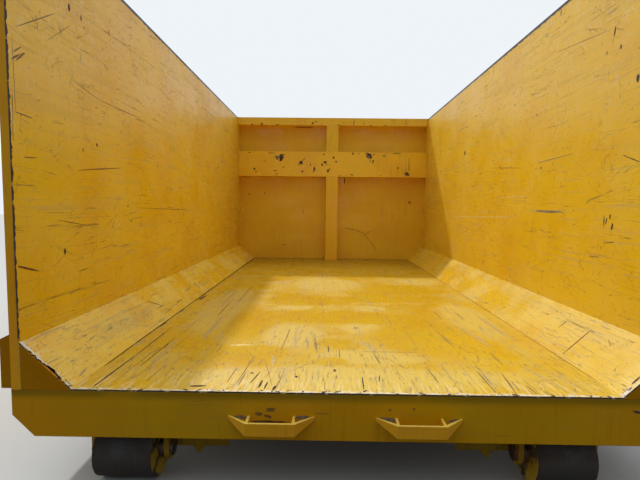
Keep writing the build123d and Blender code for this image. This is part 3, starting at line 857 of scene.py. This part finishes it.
# Marks in the paint by face: finish, both ends and width in millimetres on that face
MARKS = (
    ("left wall", (
        ("score", 71, 1317, 272, 1440, 4), ("score", 233, 1324, 384, 1437, 2),
        ("faint", 425, 1210, 623, 1183, 3), ("score", 623, 1183, 1089, 1188, 3),
        ("score", 32, 1001, 118, 997, 4), ("score", 65, 846, 139, 851, 4), ("score", 1122, 657, 2088, 637, 3),
        ("score", 260, 609, 465, 580, 3), ("rust", 5, 451, 126, 415, 7), ("score", 413, 373, 481, 378, 4),
        ("score", 2858, 1018, 3067, 1087, 6), ("faint", 437, 829, 842, 873, 6),
        ("dark", 388, 1500, 388, 1530, 14), ("dark", 481, 1500, 481, 1520, 9),
        ("faint", 742, 1532, 742, 1560, 9), ("dark", 593, 954, 593, 970, 12), ("dark", 467, 914, 467, 930, 6),
        ("rust", 2068, 826, 2068, 842, 12), ("rust", 1618, 784, 1618, 798, 10),
        ("dark", 302, 462, 302, 486, 13), ("rust", 952, 576, 952, 590, 11), ("rust", 917, 661, 917, 675, 10),
        ("score", 20, 1182, 62, 1212, 7), ("score", 46, 1188, 90, 1226, 9), ("score", 30, 1210, 70, 1240, 5),
        ("pale", 6, 1018, 18, 929, 9), ("score", 12, 900, 16, 1060, 3), ("grey", 26, 1250, 30, 1010, 3),
    )),
    ("right wall", (
        ("score", 366, 911, 260, 871, 5), ("score", 459, 526, 390, 536, 3), ("grey", 1142, 953, 764, 962, 4),
        ("score", 2694, 888, 2591, 800, 4), ("faint", 1807, 981, 1375, 944, 4),
        ("pale", 2790, 591, 1450, 621, 6), ("pale", 1725, 755, 1283, 759, 5),
        ("grey", 1139, 665, 862, 662, 13), ("faint", 959, 1541, 543, 1489, 3),
        ("dark", 948, 1738, 944, 1760, 7), ("dark", 474, 1447, 466, 1484, 9),
        ("dark", 424, 1371, 422, 1390, 9), ("faint", 519, 1378, 519, 1396, 8),
        ("dark", 303, 1199, 303, 1230, 15), ("dark", 1496, 1367, 1496, 1382, 8),
        ("rust", 1171, 1236, 1171, 1250, 8), ("dark", 2546, 1162, 2546, 1200, 32),
        ("dark", 1089, 912, 1089, 926, 9), ("dark", 456, 612, 450, 640, 6), ("dark", 428, 635, 428, 655, 8),
        ("dark", 412, 587, 408, 615, 11), ("grey", 470, 600, 470, 650, 10),
    )),
    ("floor", (
        ("seam", -1001, 430, -1001, 1500, 8), ("seam", -1000, 1300, -1000, 2900, 13),
        ("seam", -999, 2500, -999, 4300, 18), ("seam", -936, 16, -928, 352, 6),
        ("seam", -926, 405, -925, 790, 5), ("seam", -1080, 4177, 40, 4177, 12),
        ("seam", -40, 4177, 1080, 4177, 12), ("rust", 1002, 650, 1002, 2400, 4),
        ("rust", 1002, 2300, 1002, 4150, 5), ("score", 636, 1315, 640, 1107, 5),
        ("score", 768, 1295, 775, 1090, 5), ("score", 700, 477, 698, 319, 4), ("score", 557, 232, 555, 24, 5),
        ("score", 652, 213, 625, 9, 5), ("score", 699, 93, 703, 21, 5), ("score", -339, 337, -276, 65, 2),
        ("score", -242, 244, -253, 66, 2), ("score", -880, 90, -872, 420, 2),
        ("seam", -850, 250, -842, 640, 4), ("score", -815, 150, -808, 330, 2),
        ("score", -790, 500, -786, 700, 2), ("score", -830, 700, -826, 1000, 2),
        ("score", -760, 90, -752, 260, 2), ("pale", -547, 540, -426, 546, 12),
        ("rust", -204, 1678, -184, 1678, 20), ("rust", -469, 1661, -449, 1661, 20),
        ("rust", 89, 877, 109, 877, 14), ("seam", -580, 42, -524, 48, 13), ("rust", -378, 183, -364, 183, 12),
        ("score", 277, 5, 295, 5, 7), ("score", 606, 5, 622, 5, 6),
    )),
    ("right slope", (
        ("rust", 438, 18, 439, 127, 7), ("dark", 632, 88, 626, 120, 4), ("dark", 24, 42, 26, 68, 8),
    )),
    ("left slope", (
        ("dark", 995, 111, 1078, 70, 5),
    )),
    # On the sill, the grey patches darken the pockets behind the steps: partly grime, partly painted shade
    ("sill", (
        ("score", -330, -80, -304, -84, 12), ("score", -288, -68, -258, -64, 14),
        ("score", -296, -88, -272, -94, 10), ("faint", -110, -76, -60, -78, 4),
        ("grey", -404, -93, -362, -97, 12), ("grey", -180, -95, -134, -91, 12),
        ("rust", -340, -112, -215, -111, 9), ("grey", 130, -94, 192, -101, 16),
        ("grey", 380, -101, 430, -97, 16), ("score", 158, -60, 168, -60, 8), ("score", 246, -55, 256, -55, 6),
        ("dark", 1042, -50, 1072, -56, 9),
    )),
    ("floor", (
        ("grey", 572, 216, 568, 90, 4), ("grey", 660, 140, 650, 50, 5), ("rust", 1002, 190, 1002, 700, 3),
        ("score", -267, 841, -275, 660, 4), ("score", -272, 690, -284, 484, 4),
        ("smear", -234, 828, -218, 510, 16), ("score", -132, 700, -116, 540, 4),
        ("score", -118, 600, -112, 469, 5), ("dark", -59, 545, -58, 461, 5), ("score", -7, 497, -9, 379, 4),
        ("score", -395, 372, -412, 77, 4), ("score", -397, 188, -403, 63, 5),
        ("smear", -309, 396, -299, 261, 12), ("dark", 144, 177, 137, 114, 4), ("dark", 74, 158, 70, 39, 5),
        ("score", 107, 468, 344, 472, 4), ("smear", 107, 640, 160, 480, 26), ("score", 356, 271, 367, 93, 4),
        ("seam", -341, 190, -360, 79, 5), ("seam", -318, 110, -322, 40, 8), ("seam", -296, 90, -300, 30, 6),
        ("seam", -262, 60, -266, 20, 10), ("smear", -410, 120, -424, 30, 14),
        ("score", -444, 237, -450, 91, 4), ("rust", -34, 240, -35, 210, 12),
        ("seam", -189, 160, -188, 142, 9), ("smear", 250, 70, 240, 22, 12), ("seam", 80, 30, 66, 14, 8),
        ("smear", 780, 300, 820, 60, 18), ("smear", 700, 900, 740, 560, 22),
        ("smear", 880, 1200, 900, 700, 26), ("smear", 860, 260, 900, 60, 14),
        ("smear", -820, 640, -812, 260, 20), ("smear", -700, 1100, -696, 640, 24),
        ("smear", -780, 1900, -776, 1300, 26), ("score", -740, 1500, -736, 1100, 5),
        ("score", -690, 2100, -688, 1500, 5),
    )),
    ("rail", (
        ("score", 961, 1140, 961, 1302, 6),
    )),
    ("front", (
        ("rust", -500, 1684, -240, 1682, 10), ("faint", 163, 406, 300, 384, 7),
        ("faint", 290, 388, 430, 336, 8), ("faint", 420, 344, 500, 250, 8), ("faint", 495, 258, 590, 128, 8),
        ("faint", 426, 322, 563, 394, 6), ("seam", 163, 1054, 163, 976, 12),
    )),
    ("floor", (
        ("smear", -986, 500, -982, 610, 20), ("grey", -992, 1180, -989, 1270, 14),
        ("seam", -997, 850, -993, 940, 12), ("rust", -980, 1560, -972, 1710, 22),
        ("smear", -868, 830, -838, 940, 18), ("seam", -999, 240, -998, 430, 5),
        ("score", -833, 464, -840, 545, 4), ("score", -863, 397, -860, 504, 4),
    )),
)

# Chips by face: finish, middle, width and height in millimetres on that face
CHIPS = (
    ("rail", (
        ("grey", -660, 1300, 100, 52), ("grey", 455, 1318, 70, 50), ("dark", -638, 1295, 40, 80),
        ("dark", -656, 1264, 22, 50), ("dark", -393, 1229, 44, 50), ("dark", -90, 1235, 46, 36),
        ("dark", -127, 1205, 18, 44), ("dark", -224, 1151, 26, 46), ("dark", -52, 1132, 36, 34),
        ("dark", 19, 1295, 24, 32), ("rust", 50, 1243, 30, 24), ("dark", 259, 1344, 24, 28),
        ("dark", 460, 1334, 60, 34), ("dark", 484, 1306, 26, 40), ("dark", 512, 1250, 16, 46),
        ("dark", 648, 1323, 17, 28), ("dark", 799, 1352, 100, 10), ("dark", -765, 1344, 96, 11),
        ("dark", 943, 1099, 40, 42), ("rust", 915, 1108, 20, 30), ("rust", 828, 1173, 24, 22),
        ("dark", 249, 1080, 44, 17), ("dark", -697, 1082, 42, 13), ("dark", -981, 1143, 28, 32),
        ("dark", -612, 1172, 11, 30), ("rust", -714, 1125, 56, 10), ("rust", -375, 1116, 24, 22),
        ("dark", -348, 1280, 12, 24), ("dark", -849, 1245, 15, 14), ("dark", -1043, 1346, 36, 9),
        ("rust", 98, 1074, 28, 9), ("rust", -108, 1335, 28, 13), ("rust", 612, 1076, 26, 9),
        ("dark", 329, 1348, 24, 9), ("rust", -275, 1204, 13, 30), ("dark", -612, 1326, 22, 16),
        ("dark", -694, 1270, 18, 24), ("dark", -366, 1262, 12, 18), ("dark", -416, 1206, 20, 16),
        ("dark", -70, 1208, 16, 14), ("dark", -236, 1118, 16, 20), ("dark", -30, 1150, 14, 22),
        ("dark", 430, 1352, 40, 10), ("dark", 520, 1338, 34, 12), ("dark", 456, 1290, 14, 16),
        ("rust", 476, 1262, 10, 34), ("dark", 968, 1080, 12, 26), ("dark", 920, 1076, 16, 14),
        ("rust", -962, 1106, 12, 30), ("dark", -1010, 1697, 36, 10), ("rust", -887, 1704, 28, 22),
        ("dark", -690, 1696, 42, 9), ("rust", -251, 1716, 24, 28), ("rust", -213, 1738, 30, 10),
        ("dark", 75, 1697, 36, 9), ("rust", 139, 1728, 18, 11), ("score", 264, 1730, 9, 66),
        ("dark", 474, 1696, 34, 8), ("dark", 662, 1696, 34, 8),
    )),
    ("front", (
        ("faint", 1005, 745, 34, 42), ("faint", -610, 179, 50, 12), ("faint", -369, 609, 10, 60),
        ("faint", -865, 845, 14, 30), ("faint", -1064, 826, 16, 30),
    )),
)
CHIP_RAGGED = 0.33
CHIP_SHARE = 0.88

# Finish of the marks: two colours, roughness, and how high they lie
MARK_FINISHES = {
    "dark": (tone(40, 28, 24), tone(70, 44, 30), 0.7, 0.0005),
    "rust": (tone(126, 76, 26), tone(92, 52, 26), 0.75, 0.0004),
    "seam": (tone(66, 40, 20), tone(38, 24, 16), 0.8, 0.0004),
    "smear": (tone(196, 164, 84), tone(172, 146, 84), 0.5, 0.0003),
    "score": (tone(104, 76, 34), tone(134, 100, 40), 0.6, 0.0004),
    "grey": (tone(148, 132, 98), tone(120, 108, 86), 0.6, 0.0003),
    "faint": (tone(158, 108, 28), tone(132, 92, 30), 0.5, 0.0003),
    "pale": (tone(240, 216, 138), tone(224, 192, 104), 0.45, 0.0003),
}
MARK_CORNERS = 14
MARK_RAGGED = 0.13
MARK_RELIEF = 0.0004
MARK_THICKNESS = 0.0008
MARK_GROWTH = 1.1


def rows(table):
    """A table's rows with their face. The place in the table is the row's seed."""
    return enumerate((FACES[name], *row) for name, marks in table for row in marks)


class TIPPER_OT_marks(Operator):
    """Lay scratches and chips on the paint where loads have hit it"""

    bl_idname = "tipper.marks"
    bl_label = "Scratches and chips"

    def execute(self, context):
        flakes = {finish: [] for finish in MARK_FINISHES}
        for seed, (face, finish, first, second, first_end, second_end, width) in rows(MARKS):
            ends = face.point(first, second), face.point(first_end, second_end)
            flakes[finish].append(self.flake(*ends, width, face, finish, seed, MARK_RAGGED))
        for seed, (face, finish, first, second, wide, high) in rows(CHIPS):
            half = wide * CHIP_SHARE / 2
            ends = face.point(first - half, second), face.point(first + half, second)
            flakes[finish].append(self.flake(*ends, high * CHIP_SHARE, face, finish, seed, CHIP_RAGGED))
        for finish, pieces in flakes.items():
            piece = joined(pieces, f"{finish}_marks")
            modified(piece, "SOLIDIFY", thickness=MARK_THICKNESS, offset=-1)
            made = mark_material(f"{finish}_mark", *MARK_FINISHES[finish][:3])
            fitted(piece, "tipper_body", made)
        return {"FINISHED"}

    def flake(self, start, end, width, face, finish, seed, rough):
        """Thin ragged flake between two points of a face."""
        piece = added(bpy.ops.mesh.primitive_circle_add, vertices=MARK_CORNERS, radius=0.5, fill_type="NGON")
        edited(bpy.ops.transform.vertex_random, offset=rough, seed=seed)
        run = end - start
        lift = face.normal * MARK_FINISHES[finish][3]
        place = Matrix.Translation((start + end) / 2 + lift) @ axes_along(run, face.normal)
        size = (run.length * MARK_GROWTH, width * MILLIMETRE * MARK_GROWTH, MARK_RELIEF, 1)
        piece.matrix_world = place @ Matrix.Diagonal(size)
        bpy.ops.object.transform_apply(location=True, rotation=True, scale=True)
        return piece


# Bites out of the left sloping plate's rear edge: height, reach ahead and radius in millimetres
TEARS = (
    (136, -5, 11), (121, -7, 13), (104, -8, 14), (90, -4, 12), (77, 1, 14), (64, 4, 15), (53, -1, 13),
    (38, -7, 13), (25, -8, 12), (12, -7, 10),
)
TEAR_CORNERS = 7
TEAR_DEPTH = 0.03
WELD_DISTANCE = 0.00001


class TIPPER_OT_torn_plate(Operator):
    """Tear the rear edge of the left sloping plate, where loads have caught it"""

    bl_idname = "tipper.torn_plate"
    bl_label = "Torn sloping plate"

    def execute(self, context):
        cutter = joined([self.bite(*tear) for tear in TEARS], "tear_cutter")
        choose(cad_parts["left_chamfer_plate"])
        bpy.ops.object.duplicate()
        piece = bpy.context.object
        edited(bpy.ops.mesh.remove_doubles, threshold=WELD_DISTANCE)
        modified(piece, "BOOLEAN", operation="DIFFERENCE", object=cutter, solver="EXACT", use_self=True)
        choose(cutter)
        bpy.ops.object.delete()
        piece.name = piece.data.name = "torn_sloping_plate"
        fitted(piece, "tipper_body", finish_of("left_chamfer_plate"))
        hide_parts("left_chamfer_plate")
        return {"FINISHED"}

    def bite(self, height, ahead, radius):
        """Prism that cuts one bite."""
        face = FACES["left slope"]
        cutter = added(
            bpy.ops.mesh.primitive_cylinder_add, vertices=TEAR_CORNERS, radius=radius * MILLIMETRE,
            depth=TEAR_DEPTH,
        )
        place = Matrix.Translation(face.point(ahead, height)) @ axes_along(face.first, face.normal)
        cutter.matrix_world = place @ Matrix.Rotation(radians(height), 4, "Z")
        return cutter


RIB_COUNT = 7
RIB_HALF_BASE = 0.055

# Half rings that tarpaulin ropes hook on, one in each bay between the ribs
EYE_RADIUS = 0.032
EYE_ROD = 0.007
EYE_BELOW_RAIL = 0.11
EYE_SEGMENTS = (20, 10)


def over_floor(height):
    """Height over the floor's top."""
    return height - FLOOR_ORIGIN.z


def rib_middles(side):
    """Places along the body of one side's ribs."""
    low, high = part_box(f"{side}_side_ribs")
    first = low.y + RIB_HALF_BASE - FLOOR_ORIGIN.y
    last = high.y - RIB_HALF_BASE - FLOOR_ORIGIN.y
    return [first + (last - first) * index / (RIB_COUNT - 1) for index in range(RIB_COUNT)]


class TIPPER_OT_rope_eyes(Operator):
    """Weld half rings for tarpaulin ropes under the top rails"""

    bl_idname = "tipper.rope_eyes"
    bl_label = "Rope eyes"

    def execute(self, context):
        for side, sign in SIDES:
            height = over_floor(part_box(f"{side}_top_rail")[0].z) - EYE_BELOW_RAIL
            middles = rib_middles(side)
            eyes = [
                self.eye(at(sign * SHEET_X, (before + after) / 2, height), sign)
                for before, after in zip(middles, middles[1:])
            ]
            piece = joined(eyes, f"{side}_rope_eyes")
            fitted(piece, "tipper_body", finish_of("left_top_rail"))
        return {"FINISHED"}

    def eye(self, place, sign):
        """Half ring that stands out from the sheet."""
        piece = added(
            bpy.ops.mesh.primitive_torus_add, major_radius=EYE_RADIUS, minor_radius=EYE_ROD,
            major_segments=EYE_SEGMENTS[0], minor_segments=EYE_SEGMENTS[1], rotation=(radians(90), 0, 0),
        )
        bpy.ops.object.transform_apply(rotation=True)
        edited(
            bpy.ops.mesh.bisect, plane_co=(0, 0, 0), plane_no=(sign, 0, 0), use_fill=True, clear_inner=True,
        )
        piece.location = place
        return piece


NIPPLE_RADIUS = 0.005
NIPPLE_LENGTH = 0.012
NIPPLE_CORNERS = 12
NIPPLE_BEVEL = 0.0015


class TIPPER_OT_grease_nipples(Operator):
    """Put grease nipples on the ends of the roller axles"""

    bl_idname = "tipper.grease_nipples"
    bl_label = "Grease nipples"

    def execute(self, context):
        low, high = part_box("roller_axles")
        nipples = [
            added(
                bpy.ops.mesh.primitive_cylinder_add, vertices=NIPPLE_CORNERS, radius=NIPPLE_RADIUS,
                depth=NIPPLE_LENGTH, rotation=(0, radians(90), 0),
                location=(end + sign * NIPPLE_LENGTH / 2, (low.y + high.y) / 2, (low.z + high.z) / 2),
            )
            for end, sign in ((low.x, -1), (high.x, 1))
        ]
        piece = modified(joined(nipples, "grease_nipples"), "BEVEL", width=NIPPLE_BEVEL, segments=2)
        fitted(piece, "tipper_body", finish_of("roller_axles"))
        return {"FINISHED"}


BEAD_RADIUS = 0.004
BEAD_CORNERS = 8
STRIP_INSET = 0.008
RIB_BEAD_START = 0.08


def bead_lines():
    """Ends of every weld bead, over the middle of the floor's rear edge."""
    rail_bottom, rail_top = over_floor(RAIL_LOW.z), over_floor(RAIL_HIGH.z)
    top_rail = over_floor(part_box("front_top_rail")[0].z)
    cross = over_floor(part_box("cross_members")[0].z)
    post_low, post_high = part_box("front_centre_post")
    lines = []
    for side, sign in SIDES:
        post, strip = sign * (post_high.x - post_low.x) / 2, sign * (WALL_X - STRIP_INSET)
        lines += [
            ((post, LENGTH, 0), (post, LENGTH, rail_bottom)),
            ((post, LENGTH, rail_top), (post, LENGTH, top_rail)),
            ((post, RAIL_FACE, rail_bottom), (post, LENGTH, rail_bottom)),
            ((strip, LENGTH, SLOPE_TOP), (strip, LENGTH, rail_bottom)),
        ]
        rib_top = over_floor(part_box(f"{side}_side_ribs")[1].z)
        for middle in rib_middles(side):
            for edge in (middle - RIB_HALF_BASE, middle + RIB_HALF_BASE):
                sheet = sign * SHEET_X
                lines.append(((sheet, edge, cross + RIB_BEAD_START), (sheet, edge, rib_top)))
    for height in (rail_bottom, rail_top):
        lines.append(((-WALL_X, LENGTH, height), (WALL_X, LENGTH, height)))
    return lines


class TIPPER_OT_welds(Operator):
    """Run weld beads along the joints of the body"""

    bl_idname = "tipper.welds"
    bl_label = "Weld beads"

    def execute(self, context):
        beads = [self.bead(at(*start), at(*end)) for start, end in bead_lines()]
        fitted(joined(beads, "weld_beads"), "tipper_body", weld_material("painted_weld"))
        return {"FINISHED"}

    def bead(self, start, end):
        run = end - start
        bead = added(
            bpy.ops.mesh.primitive_cylinder_add, vertices=BEAD_CORNERS, radius=BEAD_RADIUS, depth=run.length,
        )
        turn = run.to_track_quat("Z", "Y").to_matrix().to_4x4()
        bead.matrix_world = Matrix.Translation((start + end) / 2) @ turn
        return bead


class TIPPER_OT_finishes(Operator):
    """Give every piece of the frame its worn paint or steel"""

    bl_idname = "tipper.finishes"
    bl_label = "Paint and steel"

    def execute(self, context):
        finishes = [(WornPaint(coat).material(), coat.pieces) for coat in COATS]
        finishes.append((roller_material("roller_tread"), ROLLERS))
        finishes.append((steel_material("greased_steel"), BARE_STEEL))
        left_out = set(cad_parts)
        for made, names in finishes:
            for name in names:
                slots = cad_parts[name].data.materials
                slots.clear()
                slots.append(made)
                left_out.remove(name)
        if left_out:
            raise RuntimeError(f"no finish for {sorted(left_out)}")
        return {"FINISHED"}


def split_by_ray(graph, unseen, seen, output):
    """One shader for the rays that light things, and another for what the camera sees."""
    path = graph.node("LightPath").outputs
    direct = graph.most(*(path[f"Is {kind} Ray"] for kind in ("Camera", "Glossy", "Transmission")))
    mixed = graph.node("MixShader", {0: direct, 1: unseen.outputs[0], 2: seen.outputs[0]})
    graph.node(output, {"Surface": mixed.outputs[0]})


def emptied(owner):
    """Graph of a world or material without nodes."""
    owner.use_nodes = True
    owner.node_tree.nodes.clear()
    return Graph(owner.node_tree)


class TIPPER_OT_stage(Operator):
    """Make the pale floor, the light from above, the key light and the camera"""

    bl_idname = "tipper.stage"
    bl_label = "Stage"

    def execute(self, context):
        self.ground()
        self.lights(context.scene)
        self.camera(context.scene)
        context.scene.view_settings.view_transform = "Standard"
        return {"FINISHED"}

    def ground(self):
        bpy.ops.mesh.primitive_plane_add(size=GROUND_SIZE)
        ground = bpy.context.object
        ground.name = "ground"
        made = bpy.data.materials.new("pale_ground")
        graph = emptied(made)
        pale = graph.node("BsdfDiffuse", {"Color": (*tone(184, 184, 182), 1)})
        dull = graph.node("BsdfDiffuse", {"Color": (*tone(66, 66, 66), 1)})
        split_by_ray(graph, dull, pale, "OutputMaterial")
        ground.data.materials.append(made)

    def lights(self, scene):
        settings = scene.tipper_light
        bpy.ops.object.light_add(type="SUN")
        lamp = bpy.context.object
        lamp.name = "key_light"
        lamp.rotation_euler = SUN_FROM.to_track_quat("Z", "Y").to_euler()
        lamp.data.energy = settings.sun
        lamp.data.angle = settings.softness
        lamp.data.color = SUN_COLOUR
        scene.world = bpy.data.worlds.new("studio")
        graph = emptied(scene.world)
        direction = graph.node("TexCoord").outputs["Generated"]
        towards = graph.vector("DOT_PRODUCT", direction, SKY_FROM.normalized(), "Value")
        strength = graph.spread(towards, *SKY_FADE, settings.low_sky, settings.sky)
        fill = graph.node("Background", {"Color": SKY_COLOUR, "Strength": strength})
        pale = graph.node("Background", {"Color": BACKDROP_COLOUR, "Strength": 1.0})
        split_by_ray(graph, fill, pale, "OutputWorld")

    def camera(self, scene):
        bpy.ops.object.camera_add()
        camera = bpy.context.object
        ahead = Vector((
            sin(CAMERA_YAW) * cos(CAMERA_PITCH), cos(CAMERA_YAW) * cos(CAMERA_PITCH), -sin(CAMERA_PITCH),
        ))
        level_right = Vector((cos(CAMERA_YAW), -sin(CAMERA_YAW), 0))
        level_up = level_right.cross(ahead)
        right = level_right * cos(CAMERA_ROLL) + level_up * sin(CAMERA_ROLL)
        up = level_up * cos(CAMERA_ROLL) - level_right * sin(CAMERA_ROLL)
        turn = Matrix((right, up, -ahead)).transposed().to_4x4()
        camera.matrix_world = Matrix.Translation(FLOOR_ORIGIN + CAMERA_FROM_FLOOR) @ turn
        camera.data.lens = CAMERA_LENS
        scene.camera = camera


class TIPPER_PT_panel(Panel):
    """Sidebar panel of the tipper body"""

    bl_idname = "TIPPER_PT_panel"
    bl_label = "Tipper body"
    bl_space_type = "VIEW_3D"
    bl_region_type = "UI"
    bl_category = "Tipper"

    def draw(self, context):
        for settings in (context.scene.tipper_paint, context.scene.tipper_light):
            for name in settings.__annotations__:
                self.layout.prop(settings, name)
        for step in STEPS:
            self.layout.operator(step.bl_idname)


STEPS = (
    TIPPER_OT_stage, TIPPER_OT_finishes, TIPPER_OT_torn_plate, TIPPER_OT_rope_eyes,
    TIPPER_OT_grease_nipples, TIPPER_OT_welds, TIPPER_OT_marks,
)
CLASSES = (PaintSettings, LightSettings, *STEPS, TIPPER_PT_panel)


def register():
    for each in CLASSES:
        bpy.utils.register_class(each)
    bpy.types.Scene.tipper_paint = PointerProperty(type=PaintSettings)
    bpy.types.Scene.tipper_light = PointerProperty(type=LightSettings)


def unregister():
    del bpy.types.Scene.tipper_light
    del bpy.types.Scene.tipper_paint
    for each in reversed(CLASSES):
        bpy.utils.unregister_class(each)


def main():
    register()
    choose()
    bpy.ops.tipper.stage()
    bpy.ops.tipper.finishes()
    bpy.ops.tipper.torn_plate()
    bpy.ops.tipper.rope_eyes()
    bpy.ops.tipper.grease_nipples()
    bpy.ops.tipper.welds()
    bpy.ops.tipper.marks()


if __name__ == "__main__":
    main()
